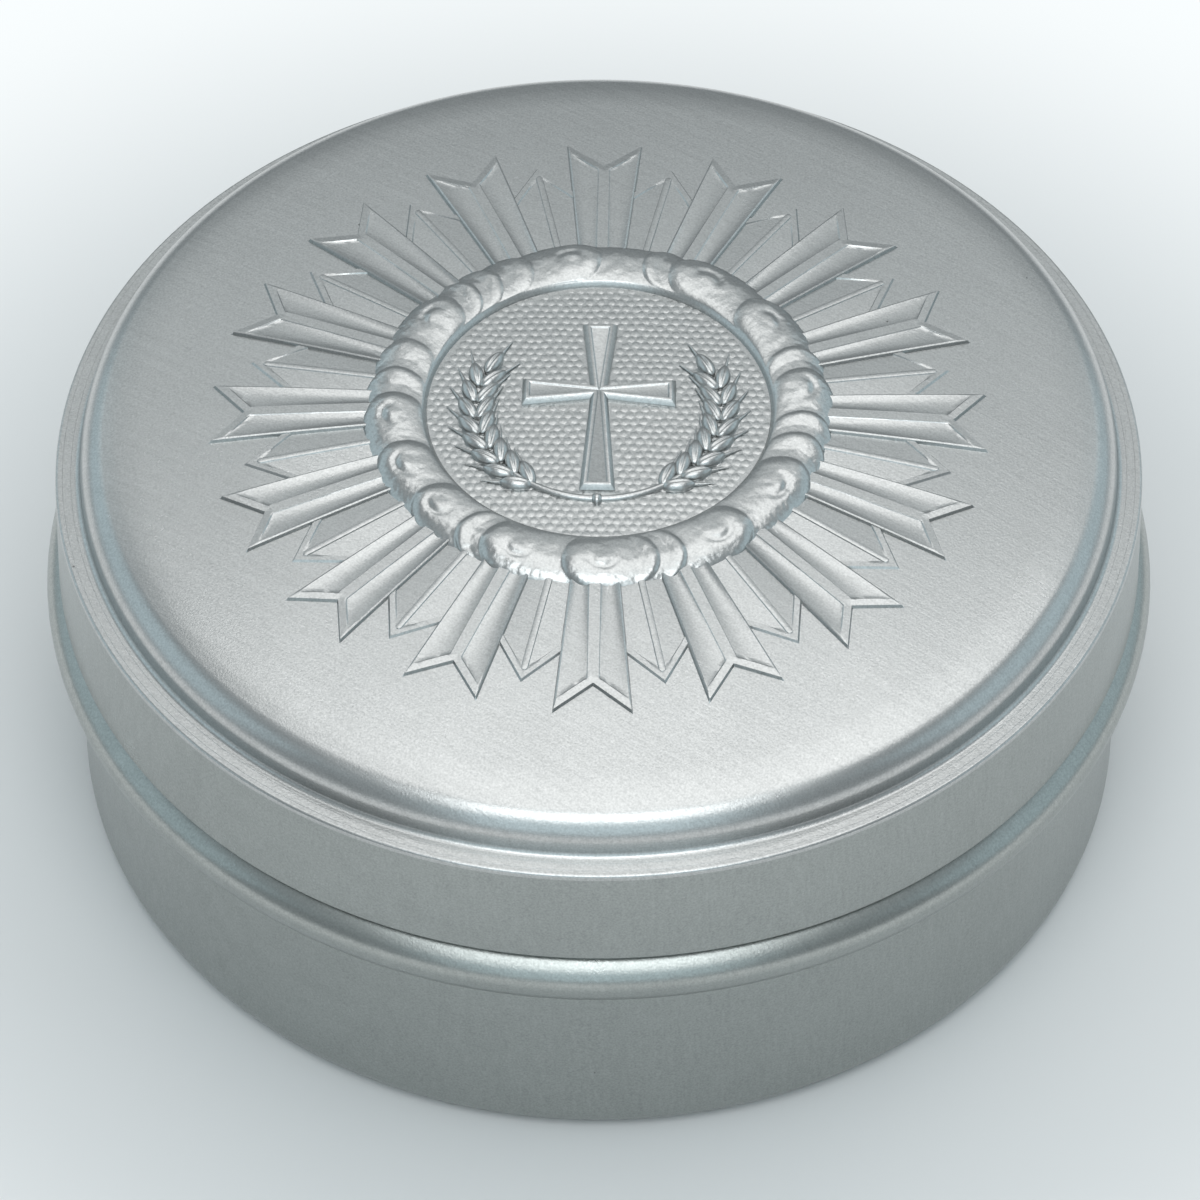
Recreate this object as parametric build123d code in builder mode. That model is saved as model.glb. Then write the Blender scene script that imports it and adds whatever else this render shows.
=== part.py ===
from build123d import *
import os
from math import hypot, radians, sqrt, tan

os.makedirs("parts", exist_ok=True)

# Driving dimensions, in millimetres and degrees

# Pressed sheet and the fit between the two pieces
sheet = 0.8  # aluminium sheet of both pieces
slip = 0.2  # clearance on the radius between the skirt and the neck
bead_gap = 0.15  # room between the skirt's lower edge and the bead

# Base
base_height = 29.0  # table to the rim, on which the lid's ledge rests
bottom_round = 2.0  # corner between the bottom and the wall
foot_width = 3.4  # flat ring that the box stands on
panel_rise = 0.6  # how far the panel inside that ring stands off the table
panel_round = 0.5
bead_radius = 2.4  # section of the rolled bead
bead_bulge = 2.0  # how far the bead stands out from the wall
bead_root_round = 0.4
rim_round = 0.25

# Lid
lid_radius = 40.0
skirt_depth = 8.6  # ledge down to the skirt's lower edge
skirt_edge_round = 0.25
ledge_width = 2.17  # flat step round the foot of the dome
ledge_fillet = 0.45
ledge_edge_round = 0.45
ledge_inner_round = 0.1
crown_height = 5.4  # middle of the dome above the ledge
dome_drop = 2.4  # how far the dome falls from its middle to the flank
shoulder_round = 2.2

# Sunburst struck in the dome
ray_count = 16
ray_root = 0.3  # how deep the relief is set into the sheet
ray_start = 15.5  # radii, from the axis
ray_notch = 25.9
ray_tip = 28.3
ray_start_half = 1.75  # half widths
ray_tip_half = 2.85
ray_step = 0.12  # upright foot of the ray's sides
ray_rise = 0.52
ray_draft = 54.0  # slope of the sides above the foot
rib_half = 0.4
flute_border = 0.06
flute_depth = 0.26

# Short rays between the long ones
short_tip = 26.4
short_shoulder = 22.95
short_start_half = 1.7
short_shoulder_half = 2.5
short_rise = 0.28
short_border = 0.55
short_sink = 0.14
short_rib_half = 0.2
short_rib_end = 24.3

# Cloud ring round the middle
ring_inner = 12.6
ring_outer = 17.2
ring_rise = 1.0
puff_count = 18
puff_radius = 2.7
puff_rise = 1.35

# Cross in the middle field
cross_centre = 1.4
cross_up = 6.9
cross_down = 9.6
cross_side = 5.6
cross_waist_half = 0.65
cross_end_half = 1.3
cross_rise = 0.6

# Values that follow from the driving ones
wall_radius = lid_radius - sheet - slip
panel_radius = wall_radius - bottom_round - foot_width - panel_rise
ledge_top = base_height + sheet
skirt_bottom = ledge_top - skirt_depth
bead_centre = skirt_bottom - bead_gap - bead_radius
bead_half = sqrt(bead_radius**2 - (bead_radius - bead_bulge) ** 2)
flank_radius = lid_radius - ledge_width
crown_top = ledge_top + crown_height
dome_radius = (flank_radius**2 + dome_drop**2) / (2 * dome_drop)


def dome_height(radius, inset=0):
    return crown_top - dome_radius + sqrt((dome_radius - inset) ** 2 - radius**2)


def relief_plane(start, end):
    """Plane through the dome at two radii, its x axis running outwards from the first."""
    low, high = dome_height(end), dome_height(start)
    span = hypot(end - start, high - low)
    along = Vector((end - start) / span, 0, (low - high) / span)
    up = Vector(-along.Z, 0, along.X)
    return Plane(origin=(start, 0, high), x_dir=along, z_dir=up)


def corner(line, radius, height):
    return line.vertices().sort_by_distance((radius, height, 0))[0]


# Base: a drawn cup with a recessed bottom, a rolled bead and a plain neck
with BuildPart() as base:
    with BuildSketch(Plane.XZ):
        with BuildLine() as base_line:
            Polyline(
                (0, panel_rise),
                (panel_radius, panel_rise),
                (panel_radius + panel_rise, 0),
                (wall_radius, 0),
                (wall_radius, bead_centre - bead_half),
            )
            ThreePointArc(
                (wall_radius, bead_centre - bead_half),
                (wall_radius + bead_bulge, bead_centre),
                (wall_radius, bead_centre + bead_half),
            )
            Line((wall_radius, bead_centre + bead_half), (wall_radius, base_height))
            fillet(corner(base_line, panel_radius, panel_rise), panel_round)
            fillet(corner(base_line, panel_radius + panel_rise, 0), panel_round)
            fillet(corner(base_line, wall_radius, 0), bottom_round)
            fillet(corner(base_line, wall_radius, bead_centre - bead_half), bead_root_round)
            fillet(corner(base_line, wall_radius, bead_centre + bead_half), bead_root_round)
            offset(amount=sheet, side=Side.LEFT)
        make_face()
    revolve(axis=Axis.Z)
    rim = base.faces().filter_by(Plane.XY).sort_by(Axis.Z)[-1]
    fillet(rim.edges(), rim_round)
base.part.label = "base"
export_step(base.part, "parts/base.step")


# One long ray: a raised swallow-tailed strip with a rib between two flutes
ray_plane = relief_plane(ray_start, ray_tip)
ray_length = ray_tip - ray_start
notch_length = ray_notch - ray_start
crest_inset = (ray_rise - ray_step) * tan(radians(ray_draft)) + flute_border
fork_back = crest_inset * hypot(1, (ray_tip - ray_notch) / ray_tip_half)


def flute_section(along, half_width):
    """Plane across the ray on its top face, centred on a flute, and half the flute's width."""
    outer = half_width - crest_inset
    middle = ray_plane.from_local_coords((along, (outer + rib_half) / 2, ray_rise))
    across = Plane(origin=middle, x_dir=ray_plane.y_dir, z_dir=ray_plane.x_dir)
    return across, (outer - rib_half) / 2


with BuildPart() as flute:
    for along, half_width in ((0, ray_start_half), (ray_length, ray_tip_half)):
        section, half = flute_section(along, half_width)
        with BuildSketch(section):
            with BuildLine():
                ThreePointArc((-half, 0), (0, -flute_depth), (half, 0))
                Polyline((half, 0), (half, flute_depth), (-half, flute_depth), (-half, 0))
            make_face()
    loft()
    with BuildSketch(ray_plane):
        with BuildLine():
            Polyline(
                (0, 0),
                (notch_length - fork_back, 0),
                (ray_length - fork_back, ray_tip_half),
                (0, ray_tip_half),
                close=True,
            )
        make_face()
    extrude(amount=2 * ray_rise, mode=Mode.INTERSECT)

with BuildPart() as long_ray:
    with BuildSketch(ray_plane.offset(-ray_root)):
        with BuildLine():
            Polyline(
                (0, -ray_start_half),
                (ray_length, -ray_tip_half),
                (notch_length, 0),
                (ray_length, ray_tip_half),
                (0, ray_start_half),
                close=True,
            )
        make_face()
    extrude(amount=ray_root + ray_step)
    ray_top = long_ray.faces().sort_by(Axis(ray_plane.origin, ray_plane.z_dir))[-1]
    extrude(ray_top, amount=ray_rise - ray_step, taper=ray_draft)
    add(flute.part, mode=Mode.SUBTRACT)
    mirror(flute.part, about=Plane.XZ, mode=Mode.SUBTRACT)

# One short ray: a lower strip with a pointed, bordered end and a thin rib
short_plane = relief_plane(ray_start, short_tip)
short_length = short_tip - ray_start
short_straight = short_shoulder - ray_start
with BuildPart() as short_ray:
    with BuildSketch(short_plane.offset(-ray_root)):
        with BuildLine():
            Polyline(
                (0, -short_start_half),
                (short_straight, -short_shoulder_half),
                (short_length, 0),
                (short_straight, short_shoulder_half),
                (0, short_start_half),
                close=True,
            )
        make_face()
    extrude(amount=ray_root + short_rise)
    with BuildSketch(short_plane.offset(short_rise)):
        with BuildLine():
            Polyline(
                (0, -short_start_half),
                (short_straight - short_border, -short_shoulder_half),
                (short_length - short_border, 0),
                (short_straight - short_border, short_shoulder_half),
                (0, short_start_half),
                close=True,
            )
        make_face()
        SlotOverall(2 * (short_rib_end - ray_start), 2 * short_rib_half, mode=Mode.SUBTRACT)
    extrude(amount=-short_sink, mode=Mode.SUBTRACT)

# Cloud ring: a half-round band with a row of puffs along it
ring_middle = (ring_inner + ring_outer) / 2
with BuildPart() as cloud_ring:
    with BuildSketch(Plane.XZ):
        with BuildLine():
            ThreePointArc(
                (ring_inner, dome_height(ring_inner)),
                (ring_middle, dome_height(ring_middle) + ring_rise),
                (ring_outer, dome_height(ring_outer)),
            )
            Polyline(
                (ring_outer, dome_height(ring_outer)),
                (ring_outer, dome_height(ring_outer) - ray_root),
                (ring_inner, dome_height(ring_inner) - ray_root),
                (ring_inner, dome_height(ring_inner)),
            )
        make_face()
    revolve(axis=Axis.Z)
    with Locations((0, 0, dome_height(ring_middle) + puff_rise - puff_radius)):
        with PolarLocations(ring_middle, puff_count):
            Sphere(puff_radius)


def lid_line(inset, edge_round):
    """One side of the lid's sheet in section, from the axis to the skirt's lower edge."""
    flank = flank_radius - inset
    flank_top = dome_height(flank, inset)
    ledge = ledge_top - inset
    skirt = lid_radius - inset
    with BuildLine() as line:
        RadiusArc((0, crown_top - inset), (flank, flank_top), dome_radius - inset)
        Polyline((flank, flank_top), (flank, ledge), (skirt, ledge), (skirt, skirt_bottom))
        fillet(corner(line, flank, flank_top), shoulder_round - inset)
        fillet(corner(line, flank, ledge), ledge_fillet + inset)
        fillet(corner(line, skirt, ledge), edge_round)
        Polyline((skirt, skirt_bottom), (0, skirt_bottom), (0, crown_top - inset))
    return line.line


# Lid: a slip cap with a domed top, a ledge and a straight skirt, struck with the relief
with BuildPart() as lid:
    with BuildSketch(Plane.XZ):
        with BuildLine():
            add(lid_line(0, ledge_edge_round))
        make_face()
    revolve(axis=Axis.Z)

    with PolarLocations(0, ray_count):
        add(short_ray.part, rotation=(0, 0, 180 / ray_count))
        add(long_ray.part)

    add(cloud_ring.part)

    with BuildSketch(Plane.XY.offset(dome_height(ring_inner) - ray_root)):
        for turn, reach in ((0, cross_side), (90, cross_up), (180, cross_side), (270, cross_down)):
            with BuildLine(Plane((0, cross_centre, 0)).rotated((0, 0, turn))):
                Polyline(
                    (0, -cross_waist_half),
                    (reach, -cross_end_half),
                    (reach, cross_end_half),
                    (0, cross_waist_half),
                    close=True,
                )
            make_face()
        with Locations((0, cross_centre)):
            Rectangle(2 * cross_waist_half, 2 * cross_waist_half)
    extrude(amount=ray_root + cross_rise + crown_top - dome_height(ring_inner))

    with BuildSketch(Plane.XZ):
        with BuildLine():
            add(lid_line(sheet, ledge_inner_round))
        make_face()
    revolve(axis=Axis.Z, mode=Mode.SUBTRACT)
    lower_edge = lid.faces().filter_by(Plane.XY).sort_by(Axis.Z)[0]
    fillet(lower_edge.edges(), skirt_edge_round)
lid.part.label = "lid"
export_step(lid.part, "parts/lid.step")
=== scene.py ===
import random
from math import acos, cos, degrees, exp, floor, hypot, pi, radians, sin, sqrt, tan

import bmesh
import bpy
from mathutils import Matrix, Vector, noise


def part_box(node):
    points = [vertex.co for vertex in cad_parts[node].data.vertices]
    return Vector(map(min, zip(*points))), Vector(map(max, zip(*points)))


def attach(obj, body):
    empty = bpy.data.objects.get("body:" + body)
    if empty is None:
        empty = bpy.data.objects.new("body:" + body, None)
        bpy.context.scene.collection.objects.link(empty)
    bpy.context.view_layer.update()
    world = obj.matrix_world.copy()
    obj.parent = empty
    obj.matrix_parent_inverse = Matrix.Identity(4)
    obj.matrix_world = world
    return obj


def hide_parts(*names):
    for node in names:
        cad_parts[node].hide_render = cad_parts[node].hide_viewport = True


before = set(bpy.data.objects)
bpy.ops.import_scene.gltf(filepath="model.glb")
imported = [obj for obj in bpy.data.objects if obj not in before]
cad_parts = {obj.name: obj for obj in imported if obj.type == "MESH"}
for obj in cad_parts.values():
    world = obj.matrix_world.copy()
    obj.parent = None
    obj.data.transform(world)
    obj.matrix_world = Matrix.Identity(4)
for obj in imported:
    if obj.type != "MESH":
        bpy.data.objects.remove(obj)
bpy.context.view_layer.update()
mm = 0.001
weld = 0.0005  # millimetres, points this close are merged

# Sizes that the frame gives, in millimetres
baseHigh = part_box("base")[1] / mm
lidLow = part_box("lid")[0] / mm
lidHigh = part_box("lid")[1] / mm


class Wire:  # one socket of a shader, with sums written as sums
    def __init__(self, tree, socket=None):
        self.tree = tree
        self.socket = socket

    def add(self, kind, settings, values, out=0):
        node = self.tree.nodes.new(kind)
        for name, value in settings.items():
            setattr(node, name, value)
        for key, value in values.items():
            if isinstance(value, Wire):
                self.tree.links.new(value.socket, node.inputs[key])
            else:
                node.inputs[key].default_value = value
        return Wire(self.tree, node.outputs[out] if node.outputs else None)

    def calc(self, operation, first, second):
        return self.add("ShaderNodeMath", {"operation": operation}, {0: first, 1: second})

    def __add__(self, other):
        return self.calc("ADD", self, other)

    def __sub__(self, other):
        return self.calc("SUBTRACT", self, other)

    def __mul__(self, other):
        return self.calc("MULTIPLY", self, other)

    def __lt__(self, other):
        return self.calc("LESS_THAN", self, other)

    __radd__ = __add__


def newMaterial(name):
    material = bpy.data.materials.new(name)
    material.use_nodes = True
    material.node_tree.nodes.clear()
    return material, Wire(material.node_tree)


# Fine-blasted aluminium with a soft sheen
satin = {
    "light": (0.580, 0.587, 0.583, 1),
    "dark": (0.410, 0.417, 0.414, 1),
    "wallPaintedShade": (0.75, 0.775, 0.76, 1),  # painted shade: walls below the height given next are darkened, standing in for the dim floor they reflect
    "paintedShadeTop": 29.5,  # millimetres, top of the painted shade on the walls
    "speckColour": (0.2, 0.2, 0.2, 1),
    "rough": 0.30,
    "roughSwing": 0.10,
    "blotchRough": 0.06,
    "grainSize": 6.5,  # grains in a millimetre
    "grainDetail": 2.0,
    "grainHeight": 0.010,  # millimetres
    "grainShade": 1.7,
    "clothHeight": 0.006,  # of the faint rubbing marks
    "clothShade": 0.6,
    "clothTurn": -33,  # degrees
    "clothDetail": 3.0,
    "clothSize": (7.0, 0.24, 2.0),
    "blotchSize": 0.16,
    "blotchDetail": 3.0,
    "blotchShade": 0.26,
    "speckSize": 0.24,
    "speckReach": 0.02,
}


def makeSatin():
    mean = 0.5  # of each noise
    material, start = newMaterial("satinAluminium")
    place = start.add("ShaderNodeTexCoord", {}, {}, "Object")
    place = start.add("ShaderNodeVectorMath", {"operation": "SCALE"}, {0: place, "Scale": 1 / mm})
    grain = start.add("ShaderNodeTexNoise", {}, {
        "Vector": place, "Scale": satin["grainSize"], "Detail": satin["grainDetail"]})
    blotch = start.add("ShaderNodeTexNoise", {}, {
        "Vector": place, "Scale": satin["blotchSize"], "Detail": satin["blotchDetail"]})
    along = start.add("ShaderNodeMapping", {"vector_type": "TEXTURE"}, {
        "Vector": place, "Rotation": (0, 0, radians(satin["clothTurn"])), "Scale": satin["clothSize"]})
    cloth = start.add("ShaderNodeTexNoise", {}, {
        "Vector": along, "Scale": 1.0, "Detail": satin["clothDetail"]})
    speck = start.add("ShaderNodeTexVoronoi", {}, {
        "Vector": place, "Scale": satin["speckSize"]}, "Distance")
    speckHere = (speck < satin["speckReach"]) * (blotch < mean)

    shade = mean + (blotch - mean) * satin["blotchShade"]
    shade = shade + (grain - mean) * satin["grainShade"] + (cloth - mean) * satin["clothShade"]
    colour = start.add("ShaderNodeMix", {"data_type": "RGBA"}, {
        "Factor": shade, 6: satin["light"], 7: satin["dark"]}, 2)
    level = start.add("ShaderNodeSeparateXYZ", {}, {"Vector": place}, "Z")
    # painted shade: below this height the colour is darkened to stand in for the dim floor that the walls
    # reflect
    colour = start.add("ShaderNodeMix", {"data_type": "RGBA", "blend_type": "MULTIPLY"}, {
        "Factor": level < satin["paintedShadeTop"], 6: colour, 7: satin["wallPaintedShade"]}, 2)
    colour = start.add("ShaderNodeMix", {"data_type": "RGBA"}, {
        "Factor": speckHere, 6: colour, 7: satin["speckColour"]}, 2)
    rough = satin["rough"] + (grain - mean) * satin["roughSwing"] + (blotch - mean) * satin["blotchRough"]
    height = grain * satin["grainHeight"] + cloth * satin["clothHeight"]
    bump = start.add("ShaderNodeBump", {}, {"Height": height, "Distance": mm, "Strength": 1.0})
    shader = start.add("ShaderNodeBsdfPrincipled", {}, {
        "Base Color": colour, "Metallic": 1.0, "Roughness": rough, "Normal": bump})
    start.add("ShaderNodeOutputMaterial", {}, {"Surface": shader})
    return material


satinAluminium = makeSatin()
print("finish mixed")


def dressPiece(name, bm, body, sharp=35):
    bmesh.ops.scale(bm, vec=(mm, mm, mm), verts=bm.verts)
    mesh = bpy.data.meshes.new(name)
    bm.to_mesh(mesh)
    bm.free()
    mesh.shade_smooth()
    mesh.set_sharp_from_angle(angle=radians(sharp))
    mesh.materials.append(satinAluminium)
    piece = bpy.data.objects.new(name, mesh)
    bpy.context.collection.objects.link(piece)
    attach(piece, body)
    print(name, len(mesh.polygons), "faces")
    return piece


roundSteps = 10  # in each rounded corner


def spinSheet(corners, steps):  # corners are (radius, height, round), from axis to axis
    bm = bmesh.new()
    points = [Vector((r, 0, z)) for r, z, _ in corners]
    verts = [bm.verts.new(p) for p in points]
    for first, second in zip(verts, verts[1:]):
        bm.edges.new((first, second))
    for index, (_, _, soft) in enumerate(corners):
        if soft:
            turn = (points[index] - points[index - 1]).angle(points[index + 1] - points[index])
            bmesh.ops.bevel(bm, geom=[verts[index]], offset=soft * tan(turn / 2), offset_type="ABSOLUTE",
                            affect="VERTICES", segments=roundSteps, profile=0.5, material=-1)
    bmesh.ops.spin(bm, geom=bm.verts[:] + bm.edges[:], axis=(0, 0, 1), angle=2 * pi, steps=steps,
                   use_merge=True)
    bmesh.ops.remove_doubles(bm, verts=bm.verts, dist=weld)
    bmesh.ops.recalc_face_normals(bm, faces=bm.faces)
    return bm


def evenNormals(piece):  # keeps the flats flat beside their small rounds
    weighted = piece.modifiers.new("evenNormals", "WEIGHTED_NORMAL")
    weighted.weight = 100
    weighted.keep_sharp = True


# Base: a drawn cup with a standing ring, a rolled bead and a plain neck
cup = {
    "steps": 288,
    "sheet": 0.8,
    "wall": 39.0,
    "bottomRound": 2.0,
    "foot": 3.4,  # width of the standing ring
    "panelRise": 0.6,
    "panelRound": 0.5,
    "beadRadius": 2.4,
    "beadHeight": 18.65,
    "beadUpper": ((1.86, 47), (3.8, 72)),  # flatter rounds above its middle, each up to an angle
    "beadRootRound": 0.4,
    "rimRound": 0.25,
}


def arcSpots(centre, radius, first, last, steps=roundSteps):  # from one angle to the other, without its end
    turns = [first + (last - first) * n / steps for n in range(steps)]
    return [(centre.x + radius * cos(t), centre.y + radius * sin(t), 0) for t in turns]


def beadOutside(centre, wall):  # from its lower root to the neck, and the neck's height
    radius = cup["beadRadius"]
    spots = arcSpots(centre, radius, -acos((wall - centre.x) / radius), 0)
    turn = 0
    for nextRadius, end in cup["beadUpper"]:
        centre = centre + (radius - nextRadius) * Vector((cos(turn), sin(turn)))
        radius = nextRadius
        end = min(radians(end), acos((wall - centre.x) / radius))
        spots += arcSpots(centre, radius, turn, end)
        turn = end
    return spots, centre.y + radius * sin(turn)


def makeBase():
    sheet, wall, rise = cup["sheet"], cup["wall"], cup["panelRise"]
    inner, rim = wall - sheet, baseHigh.z
    panel = wall - cup["bottomRound"] - cup["foot"] - rise
    lift = sheet * tan(pi / 8)  # shift of the sloped step through the sheet
    bead = Vector((baseHigh.x - cup["beadRadius"], cup["beadHeight"]))
    root = cup["beadRootRound"]
    outside, neck = beadOutside(bead, wall)
    hollow = cup["beadRadius"] - sheet
    reach = acos((inner - bead.x) / hollow)
    inside = arcSpots(bead, hollow, reach, -reach, 2 * roundSteps)
    corners = [
        (0, rise, 0),
        (panel, rise, cup["panelRound"]),
        (panel + rise, 0, cup["panelRound"]),
        (wall, 0, cup["bottomRound"]),
        (wall, outside[0][1], root),
        *outside[1:],
        (wall, neck, root),
        (wall, rim, cup["rimRound"]),
        (inner, rim, cup["rimRound"]),
        (inner, inside[0][1], root),
        *inside[1:],
        (inner, bead.y - hollow * sin(reach), root),
        (inner, sheet, cup["bottomRound"] - sheet),
        (panel + rise + lift, sheet, cup["panelRound"]),
        (panel + lift, rise + sheet, cup["panelRound"]),
        (0, rise + sheet, 0),
    ]
    piece = dressPiece("baseCup", spinSheet(corners, cup["steps"]), "base")
    evenNormals(piece)
    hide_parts("base")


# Lid: a slip cap with a shallow dome, a ledge and a straight skirt
cap = {
    "steps": 360,
    "sheet": 0.8,
    "crown": 35.2,  # top of the dome
    "domeDrop": 2.15,
    "flank": 37.83,
    "flankLean": 0.13,  # out at its foot and in at its top
    "shoulderRound": 2.2,
    "ledge": 30.02,
    "rest": 29.0,  # underside of the ledge, on the base's rim
    "ledgeFall": 0.10,  # the ledge leans outwards
    "ledgeBow": 0.5,  # most beside the flank
    "ledgeRings": 8,
    "ledgeFillet": 0.45,
    "ledgeEdgeRound": 0.22,
    "ledgeInnerRound": 0.1,
    "ledgeLines": (38.62, 39.24),  # two fine turned lines
    "lineSize": 0.012,
    "skirtDraft": 0.24,  # the skirt is that much narrower at the ledge
    "skirtEdgeRound": 0.15,
    "skirtLip": 0.12,  # the skirt's outer edge reaches down over the bead
    "domeRings": 24,
    "edgeStart": 33.2,  # from here the top turns down towards the shoulder
    "edgeWidth": 2.2,
    "edgeRings": 6,
    "edgeBend": 0.0162,
}
domeRadius = (cap["flank"] ** 2 + cap["domeDrop"] ** 2) / (2 * cap["domeDrop"])


def domeHeight(radius, inset=0):
    return cap["crown"] - domeRadius + sqrt((domeRadius - inset) ** 2 - radius**2)


def makeLid():
    sheet, flank, skirt = cap["sheet"], cap["flank"], lidHigh.x
    start, rings, edgeRings = cap["edgeStart"], cap["domeRings"], cap["edgeRings"]
    radii = [start * n / rings for n in range(rings + 1)]
    radii += [start + cap["edgeWidth"] * n / edgeRings for n in range(1, edgeRings + 1)]
    lean, line = cap["flankLean"], cap["lineSize"]
    inner, outer = flank + lean, skirt - cap["skirtDraft"]

    def topPoint(radius, soft=0):
        return radius, domeHeight(radius) - cap["edgeBend"] * max(radius - start, 0) ** 2, soft

    def ledgePoint(radius, deep=0):
        share = (radius - inner) / (outer - inner)
        fall = cap["ledgeFall"] * (1 + cap["ledgeBow"] * (1 - share)) * share
        return radius, cap["ledge"] - fall - deep, 0

    ledgeRings = cap["ledgeRings"]
    ledge = [ledgePoint(inner + (outer - inner) * n / ledgeRings) for n in range(2, ledgeRings)]
    for middle in cap["ledgeLines"]:
        ledge += [ledgePoint(middle - line), ledgePoint(middle, line), ledgePoint(middle + line)]
    corners = [
        *[topPoint(radius) for radius in radii],
        topPoint(flank - lean, cap["shoulderRound"]),
        (inner, cap["ledge"], cap["ledgeFillet"]),
        *sorted(ledge),
        (outer, cap["ledge"] - cap["ledgeFall"], cap["ledgeEdgeRound"]),
        (skirt, lidLow.z - cap["skirtLip"], cap["skirtEdgeRound"]),
        (skirt - sheet, lidLow.z, cap["skirtEdgeRound"]),
        (skirt - sheet, cap["rest"], cap["ledgeInnerRound"]),
        (flank - sheet, cap["rest"], cap["ledgeFillet"] + sheet),
        (flank - sheet, domeHeight(flank - sheet, sheet), cap["shoulderRound"] - sheet),
        *[(r, domeHeight(r, sheet), 0) for r in radii[::-1]],
    ]
    piece = dressPiece("lidShell", spinSheet(corners, cap["steps"]), "lid")
    evenNormals(piece)
    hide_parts("lid")


makeBase()
makeLid()


# Relief pieces are laid out flat, then set down on the dome
def layOnDome(bm):
    for vert in bm.verts:
        vert.co.z += domeHeight(hypot(vert.co.x, vert.co.y))


def closeBelow(bm):
    rim = [edge for edge in bm.edges if edge.is_boundary]
    bmesh.ops.holes_fill(bm, edges=rim, sides=0)


def turnCopies(bm, count, first=0):
    bmesh.ops.rotate(bm, verts=bm.verts, matrix=Matrix.Rotation(first, 3, "Z"))
    bmesh.ops.spin(bm, geom=bm.verts[:] + bm.edges[:] + bm.faces[:], axis=(0, 0, 1),
                   angle=2 * pi * (count - 1) / count, steps=count - 1, use_duplicate=True)


def rayGrid(sides, ends, place):  # a grid whose lines follow the edges of a raised strip
    bm = bmesh.new()
    across, along = len(sides) - 1, len(ends) - 1
    bmesh.ops.create_grid(bm, x_segments=along, y_segments=across, size=1)
    for vert in bm.verts:
        end = ends[round((vert.co.x + 1) / 2 * along)]
        side = sides[round((vert.co.y + 1) / 2 * across)]
        vert.co = place(side, end)
    return bm


def softStep(value):
    value = min(max(value, 0), 1)
    return value * value * (3 - 2 * value)


def finishRays(name, bm, first):
    layOnDome(bm)
    closeBelow(bm)
    turnCopies(bm, longRay["count"], first)
    bmesh.ops.recalc_face_normals(bm, faces=bm.faces)
    dressPiece(name, bm, "lid", sharp=32)


# Long rays: low swallow-tailed strips with a leaning border, two flutes and a flat rib
longRay = {
    "count": 16,
    "start": 15.5,
    "notch": 25.9,
    "tip": 28.3,
    "startHalf": 1.75,
    "tipHalf": 2.85,
    "root": -0.3,
    "step": 0.24,  # steep foot of the sides
    "draft": 0.09,
    "sideBorder": 0.20,
    "endBorder": 0.62,  # width of the band round the fork
    "rise": 0.29,
    "rib": 0.40,
    "ribStep": 0.05,
    "ribDraft": 0.05,
    "fluteDepth": 0.15,
    "fluteFade": 0.70,  # shallower towards the fork
    "endWall": 0.10,
    "rows": 26,
    "sideMark": 0.15,  # from here on, where the lines of the grid lie
    "endMarks": (0.5, 0.36, 0.2),
    "fluteShares": (1, 0.97, 0.9, 0.8, 0.66, 0.5, 0.34, 0.2, 0.1, 0.03, 0),
    "ribShares": (1, 0.6),
    "wallShares": (1, 0.7, 0.4, 0),
    "settleRounds": 6,
}


def makeLongRays():
    ray = longRay
    step, rise, draft = ray["step"], ray["rise"], ray["draft"]
    sideBorder, endBorder = ray["sideBorder"], ray["endBorder"]
    lean = hypot(ray["tip"] - ray["notch"], ray["tipHalf"]) / ray["tipHalf"]

    def edgeHeight(inside, border):  # by the distance from the foot
        if inside < draft:
            return step * inside / draft
        return step + (rise - step) * min((inside - draft) / (border - draft), 1)

    half = [("root", 0)] + [("edge", m) for m in (0, draft, ray["sideMark"])]
    half += [("flute", f) for f in ray["fluteShares"]] + [("rib", r) for r in ray["ribShares"]]
    sides = [(-1, *station) for station in half] + [(0, "rib", 0)]
    sides += [(1, *station) for station in half[::-1]]
    ends = [("body", n / ray["rows"]) for n in range(ray["rows"])]
    ends += [("wall", w) for w in ray["wallShares"]]
    ends += [("edge", m) for m in (*ray["endMarks"], draft, 0)] + [("root", 0)]

    def place(side, end):
        sign, sideKind, share = side
        endKind, endShare = end
        back = {"body": endBorder + ray["endWall"], "wall": endBorder + ray["endWall"] * endShare,
                "edge": endShare, "root": 0}[endKind]
        x = ray["notch"]
        for _ in range(ray["settleRounds"]):  # the row's place and the strip's width settle together
            grown = (x - ray["start"]) / (ray["tip"] - ray["start"])
            width = ray["startHalf"] + (ray["tipHalf"] - ray["startHalf"]) * grown
            ribFoot = ray["rib"] + ray["ribDraft"]
            y = {"root": width, "edge": width - share, "rib": ray["rib"] * share,
                 "flute": ribFoot + (width - sideBorder - ribFoot) * share}[sideKind]
            last = ray["notch"] + (ray["tip"] - ray["notch"]) * y / ray["tipHalf"] - back * lean
            x = ray["start"] + (last - ray["start"]) * endShare if endKind == "body" else last
        height = min(edgeHeight(width - y, sideBorder), edgeHeight(back, endBorder))
        if sideKind == "flute":
            bowl = ray["fluteDepth"] * (1 - ray["fluteFade"] * grown)
            hollow = bowl * 4 * share * (1 - share) + ray["ribStep"] * (1 - share)
            height -= hollow * softStep((back - endBorder) / ray["endWall"])
        if sideKind == "root" or endKind == "root":
            height = ray["root"]
        return Vector((x, sign * y, height))

    finishRays("longRays", rayGrid(sides, ends, place), 0)


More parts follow.
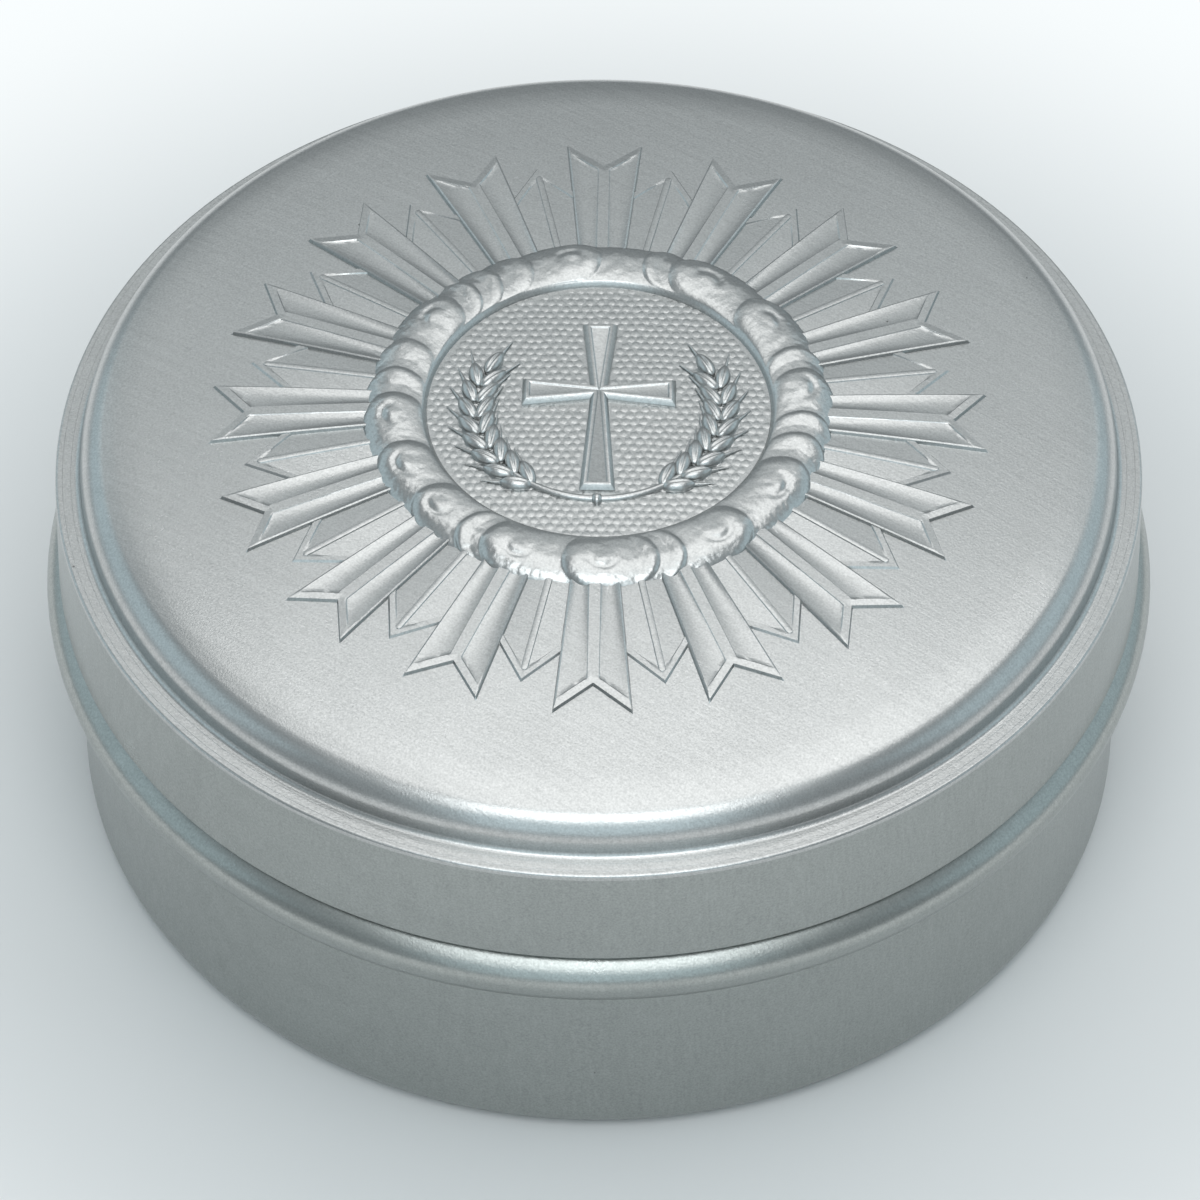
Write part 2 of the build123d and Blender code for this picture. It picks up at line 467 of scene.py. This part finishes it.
# Short rays: still lower, pointed strips that come out from behind the long ones
shortRay = {
    "start": 15.5,
    "tip": 26.1,
    "shoulder": 22.75,
    "startHalf": 1.7,
    "shoulderHalf": 2.5,
    "root": -0.3,
    "rise": 0.15,
    "draft": 0.12,
    "border": 0.52,
    "wall": 0.08,
    "sink": 0.08,
    "roof": 0.13,  # how far it falls from its middle to its sides
    "rows": 24,
    "columns": 10,  # on each side
    "borderMarks": (0.24, 0.38),  # grid lines, by the distance from the foot
    "lastMark": 0.7,
}


def makeShortRays():
    ray = shortRay
    lean = hypot(ray["tip"] - ray["shoulder"], ray["shoulderHalf"]) / ray["shoulderHalf"]
    marks = [0, ray["draft"], *ray["borderMarks"]]
    marks += [ray["border"], ray["border"] + ray["wall"], ray["lastMark"]]
    columns = ray["columns"]
    sides = [-1] + [n / columns for n in range(-columns, columns + 1)] + [1]
    ends = [("body", n / ray["rows"]) for n in range(ray["rows"])]
    ends += [("edge", m) for m in marks[::-1]] + [("root", 0)]

    def place(side, end):
        kind, amount = end
        back = {"body": marks[-1], "edge": amount, "root": 0}[kind]
        last = ray["tip"] - (ray["tip"] - ray["shoulder"]) * abs(side) - back * lean
        x = ray["start"] + (last - ray["start"]) * amount if kind == "body" else last
        grown = min((x - ray["start"]) / (ray["shoulder"] - ray["start"]), 1)
        y = side * (ray["startHalf"] + (ray["shoulderHalf"] - ray["startHalf"]) * grown)
        height = ray["rise"] * min(back / ray["draft"], 1)
        if back > ray["border"]:
            height -= ray["sink"] + ray["roof"] * (abs(side) - 0.5)
        return Vector((x, y, ray["root"] if kind == "root" else height))

    bm = rayGrid(sides, ends, place)
    for vert in bm.verts:
        if vert.is_boundary:
            vert.co.z = ray["root"]
    finishRays("shortRays", bm, pi / longRay["count"])


# Thin ribs along the short rays, rounded at the end
shortRib = {
    "start": 15.5,
    "end": 25.2,
    "half": 0.31,
    "root": -0.3,
    "foot": 0.05,
    "rise": 0.18,
    "draft": 0.10,
    "crown": 0.05,  # the top is a low ridge
    "topMark": 0.17,
    "rows": 20,
    "endSteps": 12,
}


def makeShortRibs():
    rib = shortRib
    straight = rib["end"] - rib["half"] - rib["start"]
    side = [("side", straight * n / rib["rows"]) for n in range(rib["rows"])]
    around = [(-1, *s) for s in side]
    around += [(1, "end", 180 * n / rib["endSteps"] - 90) for n in range(rib["endSteps"] + 1)]
    around += [(1, *s) for s in side[::-1]]
    inwards = [("root", 0)] + [("top", m) for m in (0, rib["draft"], rib["topMark"], rib["half"])]

    def place(station, ring):
        sign, kind, amount = station
        size = rib["half"] - ring[1]
        x, y = (amount, sign * size) if kind == "side" else (straight, 0)
        if kind == "end":
            x += size * cos(radians(amount))
            y = size * sin(radians(amount))
        crown = rib["crown"] * ring[1] / rib["half"]
        height = rib["foot"] + (rib["rise"] - rib["foot"]) * min(ring[1] / rib["draft"], 1) + crown
        return Vector((rib["start"] + x, y, rib["root"] if ring[0] == "root" else height))

    bm = rayGrid(around, inwards, place)
    bmesh.ops.remove_doubles(bm, verts=bm.verts, dist=weld)
    finishRays("shortRibs", bm, pi / longRay["count"])


makeShortRays()
makeShortRibs()
makeLongRays()


# Cloud ring: a round band of overlapping puffs
cloud = {
    "steps": 1080,
    "arcPoints": 52,
    "inner": 12.50,
    "lip": 12.82,
    "lipHeight": 0.45,
    "lipEdge": (0.05, 0.03),
    "outer": 17.30,
    "outerFoot": -0.08,
    "root": -0.35,
    "high": 1.04,  # crest of a puff
    "fullness": 0.72,  # of its section, 0.5 is a half ellipse and 1 a parabola
    "tailDrop": 0.34,  # its fall towards the puff that covers it
    "tailBend": 1.6,
    "shortDrop": 0.08,  # how much lower a short puff is
    "bow": 1.7,  # how far the crease between two puffs is bent
    "nose": 1.8,  # length of a puff's rounded beginning
    "scallop": 0.5,
    "eyeLength": 1.15,
    "eyeWidth": 0.95,
    "eyeGroove": (0.80, 0.30, 0.13),  # its place, width and depth round the eye
    "eyeBump": (0.50, 0.04),  # width and height in the middle
    "eyeShift": 1,  # degrees past the puff's middle
    "eyeReach": 1.8,
    "eyeHub": 0.1,
    "eyeInner": 0.35,  # how deep the groove is on the side of the axis
    "eyeFrom": 15,  # degrees, the shortest puff with an eye
    "swell": (1.2, 0.035),  # waves in a millimetre and their height
    "fray": (3.3, 0.014, 0.04),  # the same, and how much more along the outer edge
    # where the puffs begin on each side, in degrees from the far side
    "right": [10.5, 18, 43, 65, 73, 90, 98, 108, 133, 154, 161, 170],
    "left": [-2, 18, 29, 37, 44, 63, 74.5, 84, 103, 122, 139, 146, 169, 193],
}


def archShape(share):
    return sqrt(max(1 - share * share, 0))


def listPuffs():  # side, beginning and length of each puff
    puffs = []
    for side, begins in ((1, cloud["right"]), (-1, cloud["left"])):
        puffs += [(side, begin, end - begin) for begin, end in zip(begins, begins[1:])]
    return puffs


def puffShape(clock, across, half, puffs):  # crest over this place and depth of its dent
    arc = radians(1) * (cloud["outer"] - half)  # millimetres in a degree
    bent = cloud["bow"] * (1 - archShape(across / half))
    crest = cloud["high"] - cloud["tailDrop"]
    dent = 0
    for side, begin, span in puffs:
        turned = (side * clock - begin + 180) % 360 - 180
        past, length = turned * arc - bent, span * arc
        if 0 < past < length + cloud["bow"]:
            nose = archShape(1 - min(past / min(cloud["nose"], length / 2), 1))
            fall = cloud["tailDrop"] * min(past / length, 1) ** cloud["tailBend"]
            top = cloud["high"] - (cloud["shortDrop"] if span < cloud["eyeFrom"] else 0)
            crest = max(crest, (top - fall) * nose)
        aside = across / cloud["eyeWidth"]
        away = hypot((turned - span / 2 - cloud["eyeShift"]) * arc / cloud["eyeLength"], aside)
        if span > cloud["eyeFrom"] and away < cloud["eyeReach"]:
            place, width, deep = cloud["eyeGroove"]
            outwards = aside / max(away, cloud["eyeHub"])
            crescent = max(cloud["eyeInner"] + (1 - cloud["eyeInner"]) * outwards, 0)
            groove = deep * exp(-((away - place) / width) ** 2) * crescent
            size, bump = cloud["eyeBump"]
            dent = groove - bump * exp(-(away / size) ** 2)
    return crest, dent


def makeCloudRing():
    lip, outer, root = cloud["lip"], cloud["outer"], cloud["root"]
    middle, half = (lip + outer) / 2, (outer - lip) / 2
    count = cloud["arcPoints"]
    back, fall = cloud["lipEdge"]
    section = [(cloud["inner"], root), (cloud["inner"], 0.0), (lip - back, cloud["lipHeight"] - fall)]
    bandStart = len(section)
    section += [(middle - half * cos(pi * n / count), 0) for n in range(count + 1)] + [(outer, root)]
    puffs = listPuffs()
    swellWaves, swell = cloud["swell"]
    frayWaves, rough, rougher = cloud["fray"]
    bm = bmesh.new()
    bmesh.ops.create_grid(bm, x_segments=cloud["steps"], y_segments=len(section) - 1, size=1)
    for vert in bm.verts:
        turn = vert.co.x * pi
        spot = round((vert.co.y + 1) / 2 * (len(section) - 1))
        radius, height = section[spot]
        if spot >= bandStart:
            across = radius - middle
            crest, dent = puffShape(degrees(turn), across, half, puffs)
            arch = archShape(across / half) ** (2 * cloud["fullness"])
            foot = cloud["lipHeight"] if across < 0 else cloud["outerFoot"]
            if spot < bandStart + count:
                height = foot + (crest - foot) * arch - dent
            radius -= max(across, 0) * cloud["scallop"] * (1 - crest / cloud["high"])
        around = Vector((radius * sin(turn), radius * cos(turn), 0))
        if bandStart <= spot < bandStart + count:
            frayed = rough + rougher * max(across / half, 0) ** 2
            swelling = noise.noise(around * swellWaves) * swell * arch
            height += swelling + noise.noise(around * frayWaves) * frayed * sqrt(arch)
        vert.co = around + Vector((0, 0, height))
    bmesh.ops.remove_doubles(bm, verts=[v for v in bm.verts if v.is_boundary], dist=weld)
    layOnDome(bm)
    bmesh.ops.recalc_face_normals(bm, faces=bm.faces)
    dressPiece("cloudRing", bm, "lid", sharp=60)


makeCloudRing()


# Cross: flared arms with sloped sides and a sunk face
cross = {
    "centre": 1.4,
    "up": 6.9,
    "down": 9.6,
    "side": 5.6,
    "waist": 0.65,
    "end": 1.3,
    "root": -0.3,
    "step": 0.22,
    "rise": 0.6,
    "slope": 0.28,
    "faceInset": 0.22,
    "faceSink": 0.12,
    "sinkWall": 0.08,
    "edgeRound": 0.035,
    "edgeAngle": 20,  # degrees, edges that turn more are rounded
}


def makeCross():
    bm = bmesh.new()
    waist, end = cross["waist"], cross["end"]
    outline = []
    for reach, turn in ((cross["side"], 0), (cross["up"], 90), (cross["side"], 180), (cross["down"], 270)):
        spinArm = Matrix.Rotation(radians(turn), 3, "Z")
        outline += [spinArm @ Vector(p) for p in ((waist, -waist, 0), (reach, -end, 0), (reach, end, 0))]
    face = bm.faces.new([bm.verts.new(p + Vector((0, cross["centre"], cross["root"]))) for p in outline])
    lifted = bmesh.ops.extrude_face_region(bm, geom=[face])["geom"]
    bmesh.ops.translate(bm, vec=(0, 0, cross["step"] - cross["root"]),
                        verts=[g for g in lifted if isinstance(g, bmesh.types.BMVert)])
    top = [g for g in lifted if isinstance(g, bmesh.types.BMFace)]
    bmesh.ops.inset_region(bm, faces=top, thickness=cross["slope"], depth=cross["rise"] - cross["step"],
                           use_even_offset=True)
    bmesh.ops.inset_region(bm, faces=top, thickness=cross["faceInset"], use_even_offset=True)
    bmesh.ops.inset_region(bm, faces=top, thickness=cross["sinkWall"], depth=-cross["faceSink"],
                           use_even_offset=True)
    layOnDome(bm)
    bmesh.ops.recalc_face_normals(bm, faces=bm.faces)
    edges = [e for e in bm.edges if e.is_manifold and e.calc_face_angle() > radians(cross["edgeAngle"])]
    bmesh.ops.bevel(bm, geom=edges, offset=cross["edgeRound"], affect="EDGES", segments=2, profile=0.5,
                    material=-1)
    dressPiece("fieldCross", bm, "lid", sharp=50)


# Wheat: one bowed ear on each side of the cross
wheat = {
    "bow": 8.9,  # radius that the stalk follows
    "bottom": 180,  # degrees from the far side
    "earBottom": 142,
    "earTop": 60,
    "grains": 9,
    "grainSize": (1.20, 0.56, 0.52),
    "grainLift": 0.12,
    "grainTaper": 0.45,  # towards a pointed tip
    "splay": 30,
    "offset": 0.66,
    "furrow": 0.10,
    "furrowWidth": 0.22,
    "stalk": 0.26,
    "stalkLift": 0.06,
    "stalkSteps": 40,
    "stalkOverlap": 4,  # degrees into the ear
    "tie": (0.42, 0.50, 0.44),
    "awn": 1.5,
    "awnPlace": 0.42,  # share of its length past the grain
    "awnSink": 0.02,
    "awnThick": (0.15, 0.03),
}


def stalkPoint(clock):
    return Vector((wheat["bow"] * sin(radians(clock)), wheat["bow"] * cos(radians(clock)), 0))


def addGrain(bm, spot, turn):
    long, wide, high = wheat["grainSize"]
    put = Matrix.Translation(spot + Vector((0, 0, wheat["grainLift"]))) @ Matrix.Rotation(turn, 4, "Z")
    grain = bmesh.ops.create_icosphere(bm, subdivisions=4, radius=1)["verts"]
    for vert in grain:
        x, y, z = vert.co
        y *= 1 - wheat["grainTaper"] * max(x, 0) ** 2
        if z > 0:
            z -= wheat["furrow"] / high * max(0, 1 - (y / wheat["furrowWidth"]) ** 2) * (1 - x * x)
        vert.co = put @ Vector((x * long, y * wide, z * high))
    past = Matrix.Translation((long + wheat["awnPlace"] * wheat["awn"], 0, -wheat["awnSink"]))
    thick, thin = wheat["awnThick"]
    bmesh.ops.create_cone(bm, cap_ends=True, segments=10, radius1=thick, radius2=thin, depth=wheat["awn"],
                          matrix=put @ past @ Matrix.Rotation(pi / 2, 4, "Y"))


def makeWheat():
    bm = bmesh.new()
    for n in range(wheat["grains"]):
        clock = wheat["earBottom"] + (wheat["earTop"] - wheat["earBottom"]) * n / (wheat["grains"] - 1)
        heading = radians(180 - clock)  # towards the tip of the ear
        aside = Vector((-sin(heading), cos(heading), 0)) * wheat["offset"]
        for sideways in ((0,) if n == wheat["grains"] - 1 else (-1, 1)):
            addGrain(bm, stalkPoint(clock) + aside * sideways, heading + sideways * radians(wheat["splay"]))
    stalk = bmesh.ops.create_circle(bm, cap_ends=True, segments=16, radius=wheat["stalk"])["verts"]
    stand = Matrix.Translation((0, wheat["bow"], wheat["stalkLift"])) @ Matrix.Rotation(pi / 2, 4, "Y")
    bmesh.ops.transform(bm, matrix=Matrix.Rotation(radians(-wheat["bottom"]), 4, "Z") @ stand, verts=stalk)
    edges = list({edge for vert in stalk for edge in vert.link_edges})
    faces = list({face for vert in stalk for face in vert.link_faces})
    bmesh.ops.spin(bm, geom=stalk + edges + faces, axis=(0, 0, 1), steps=wheat["stalkSteps"],
                   angle=radians(wheat["bottom"] - wheat["earBottom"] + wheat["stalkOverlap"]))
    layOnDome(bm)
    bmesh.ops.mirror(bm, geom=bm.verts[:] + bm.edges[:] + bm.faces[:], axis="X", merge_dist=-1)
    knot = Matrix.Translation((0, -wheat["bow"], domeHeight(wheat["bow"]) + wheat["stalkLift"]))
    knot = knot @ Matrix.Diagonal((*wheat["tie"], 1))
    bmesh.ops.create_icosphere(bm, subdivisions=3, radius=1, matrix=knot)
    bmesh.ops.recalc_face_normals(bm, faces=bm.faces)
    dressPiece("wheatEars", bm, "lid", sharp=60)


makeCross()
makeWheat()


# Field: struck pearls in staggered rows behind the cross
pearl = {
    "pitch": 0.74,
    "radius": 0.42,
    "seedRadius": 0.1,  # of the first one, small enough to tell them apart
    "rise": 0.065,
    "cut": 0.35,  # share of the rise that is cut away below
    "depth": 0.1,  # share of the rise that stays below the field
    "jitter": 0.07,
    "sizes": (0.9, 1.06),
    "margin": 0.1,  # kept clear round the cross
    "reach": 12.4,
    "seed": 7,
}


def underCross(spot, margin):
    x, y = abs(spot.x), spot.y - cross["centre"]
    span = cross["up"] if y > 0 else cross["down"]
    flare = (cross["end"] - cross["waist"]) / span
    sideFlare = (cross["end"] - cross["waist"]) / cross["side"]
    upright = abs(y) < span + margin and x < cross["waist"] + flare * abs(y) + margin
    bar = x < cross["side"] + margin and abs(y) < cross["waist"] + sideFlare * x + margin
    return upright or bar


def makePearls():
    pitch, reach = pearl["pitch"], pearl["reach"]
    rowStep = pitch * sqrt(3) / 2
    rows, columns = floor(reach / rowStep), floor(reach / pitch) + 1
    bm = bmesh.new()
    bmesh.ops.create_icosphere(bm, subdivisions=1, radius=1)
    bmesh.ops.bisect_plane(bm, geom=bm.verts[:] + bm.edges[:] + bm.faces[:], plane_co=(0, 0, pearl["cut"]),
                           plane_no=(0, 0, -1), clear_outer=True)  # only the cap stays
    closeBelow(bm)
    bmesh.ops.translate(bm, vec=(0, 0, -pearl["cut"] - pearl["depth"]), verts=bm.verts)
    bmesh.ops.scale(bm, vec=(pearl["seedRadius"], pearl["seedRadius"], pearl["rise"]), verts=bm.verts)
    bmesh.ops.translate(bm, vec=(-columns * pitch, -rows * rowStep, 0), verts=bm.verts)
    for step, count in ((Vector((pitch, 0, 0)), 2 * columns), (Vector((0, 2 * rowStep, 0)), rows)):
        bmesh.ops.spin(bm, geom=bm.verts[:] + bm.edges[:] + bm.faces[:], axis=(0, 0, 1), angle=0,
                       dvec=step, steps=count, use_duplicate=True)
    everyOther = bmesh.ops.duplicate(bm, geom=bm.verts[:] + bm.edges[:] + bm.faces[:])["geom"]
    bmesh.ops.translate(bm, vec=(pitch / 2, rowStep, 0),
                        verts=[g for g in everyOther if isinstance(g, bmesh.types.BMVert)])
    rng = random.Random(pearl["seed"])
    moves = {}
    spare = []
    for vert in bm.verts:
        row = round(vert.co.y / rowStep)
        shift = pitch / 2 if (row + rows) % 2 else 0
        column = round((vert.co.x - shift) / pitch)
        centre = Vector((column * pitch + shift, row * rowStep, 0))
        if (row, column) not in moves:
            jog = Vector((rng.uniform(-1, 1), rng.uniform(-1, 1), 0)) * pearl["jitter"]
            moves[row, column] = jog, rng.uniform(*pearl["sizes"])
        jog, size = moves[row, column]
        grow = size * pearl["radius"] / pearl["seedRadius"]
        vert.co = centre + jog + (vert.co - centre) * Vector((grow, grow, size))
        if (centre + jog).length > reach or underCross(centre + jog, pearl["margin"]):
            spare.append(vert)
    bmesh.ops.delete(bm, geom=spare, context="VERTS")
    layOnDome(bm)
    dressPiece("fieldPearls", bm, "lid", sharp=80)


makePearls()


# Stage: a pale floor, grey round the object as painted shadow
stage = {
    "radius": 6.0,
    "paintedShadowGrey": (0.74, 0.74, 0.74, 1),
    "white": (0.95, 0.99, 1.0, 1),
    "around": (0.62, 0.63, 0.64, 1),
    "paintedShadowReach": (0.052, 0.095),  # metres, from the painted shadow grey round the object, which also takes the real shadow, to white
    "whiteReach": (0.11, 0.60),  # and from white to the grey far away
}


def makeFloor():
    material, start = newMaterial("paleFloor")
    place = start.add("ShaderNodeTexCoord", {}, {}, "Object")
    away = start.add("ShaderNodeVectorMath", {"operation": "LENGTH"}, {0: place}, "Value")
    shares = []
    for first, last in (stage["paintedShadowReach"], stage["whiteReach"]):
        shares.append(start.add("ShaderNodeMapRange", {"interpolation_type": "SMOOTHSTEP"}, {
            "Value": away, "From Min": first, "From Max": last}))
    drift = shares[0] - shares[1]
    # painted shadow: the diffuse floor round the object is coloured grey, and further out it turns white
    colour = start.add("ShaderNodeMix", {"data_type": "RGBA"}, {
        "Factor": shares[1], 6: stage["paintedShadowGrey"], 7: stage["around"]}, 2)
    shader = start.add("ShaderNodeBsdfDiffuse", {}, {"Color": colour})
    white = start.add("ShaderNodeEmission", {}, {"Color": stage["white"], "Strength": 1.0})
    seen = 0
    for ray in ("Is Camera Ray", "Is Glossy Ray", "Is Transmission Ray"):
        seen = seen + start.add("ShaderNodeLightPath", {}, {}, ray)
    shader = start.add("ShaderNodeMixShader", {}, {"Fac": drift * seen, 1: shader, 2: white})
    start.add("ShaderNodeOutputMaterial", {}, {"Surface": shader})
    bm = bmesh.new()
    bmesh.ops.create_circle(bm, cap_ends=True, segments=64, radius=stage["radius"])
    mesh = bpy.data.meshes.new("floor")
    bm.to_mesh(mesh)
    bm.free()
    mesh.materials.append(material)
    ground = bpy.data.objects.new("floor", mesh)
    bpy.context.collection.objects.link(ground)


makeFloor()


# Light: a softbox overhead, a smaller one in front, four dim cool cards and a dim room
light = {
    "overhead": {
        "middle": 102.5, "reach": 44, "turn": 0, "aside": 0.10,
        "width": 0.85, "radiance": 1.45, "tint": (1, 1, 0.99)},
    "front": {
        "middle": 61.5, "reach": 29, "turn": 0, "aside": 0.0,
        "width": 0.7, "radiance": 2.8, "tint": (0.95, 0.99, 1)},
    "low": {
        "middle": 26, "reach": 41, "turn": 0, "aside": 0.0,
        "width": 0.9, "radiance": 0.78, "tint": (0.74, 0.93, 1)},
    "behind": {
        "middle": 138, "reach": 20, "turn": 0, "aside": 0.0,
        "width": 1.4, "radiance": 0.44, "tint": (0.96, 1, 1)},
    "left": {
        "middle": 25, "reach": 40, "turn": -105, "aside": 0.0,
        "width": 1.5, "radiance": 0.5, "tint": (0.68, 0.91, 1)},
    "right": {
        "middle": 25, "reach": 40, "turn": 105, "aside": 0.0,
        "width": 1.5, "radiance": 0.5, "tint": (0.68, 0.91, 1)},
    "distance": 1.0,
    "room": (0.91, 1.0, 1.04, 1),
    "roomStrength": 0.34,
}


def addSoftbox(name, box):  # middle is its angle up from the front, reach the angle that it spans
    lamp = bpy.data.lights.new(name, "AREA")
    lamp.shape = "RECTANGLE"
    lamp.size = box["width"]
    lamp.size_y = 2 * light["distance"] * tan(radians(box["reach"] / 2))
    lamp.color = box["tint"]
    lamp.energy = box["radiance"] * pi * lamp.size * lamp.size_y
    holder = bpy.data.objects.new(name, lamp)
    around = Matrix.Rotation(radians(box["turn"]), 4, "Z")
    tilt = Matrix.Rotation(radians(90 - box["middle"]), 4, "X")
    holder.matrix_world = around @ tilt @ Matrix.Translation((box["aside"], 0, light["distance"]))
    bpy.context.collection.objects.link(holder)


def makeLight():
    for name in ("overhead", "front", "low", "behind", "left", "right"):
        addSoftbox(name, light[name])
    world = bpy.data.worlds.new("room")
    world.use_nodes = True
    world.node_tree.nodes["Background"].inputs["Color"].default_value = light["room"]
    world.node_tree.nodes["Background"].inputs["Strength"].default_value = light["roomStrength"]
    bpy.context.scene.world = world
    bpy.context.scene.view_settings.view_transform = "Standard"


makeLight()


# Camera at the photograph's angle
view = {
    "distance": 506.0,
    "elevation": 47.04,
    "height": 29.8,  # of the point that it turns about
    "azimuth": 0.9,
    "lens": 207.2,
    "sensor": 36,
    "clip": (0.05, 50),  # metres
    "drop": 1.17,  # degrees below that point
    "aside": 0.01,
}


def makeCamera():
    lens = bpy.data.cameras.new("camera")
    lens.lens = view["lens"]
    lens.sensor_width = view["sensor"]
    lens.clip_start, lens.clip_end = view["clip"]
    seat = bpy.data.objects.new("camera", lens)
    target = Vector((0, 0, view["height"])) * mm
    around = Matrix.Rotation(radians(view["azimuth"]), 4, "Z")
    tilt = Matrix.Rotation(radians(90 - view["elevation"]), 4, "X")
    out = around @ tilt @ Vector((0, 0, view["distance"] * mm))
    nod = Matrix.Rotation(radians(-view["drop"]), 4, "X") @ Matrix.Rotation(radians(-view["aside"]), 4, "Y")
    seat.matrix_world = Matrix.Translation(target + out) @ around @ tilt @ nod
    bpy.context.collection.objects.link(seat)
    bpy.context.scene.camera = seat


makeCamera()
print("stage, light and camera set")
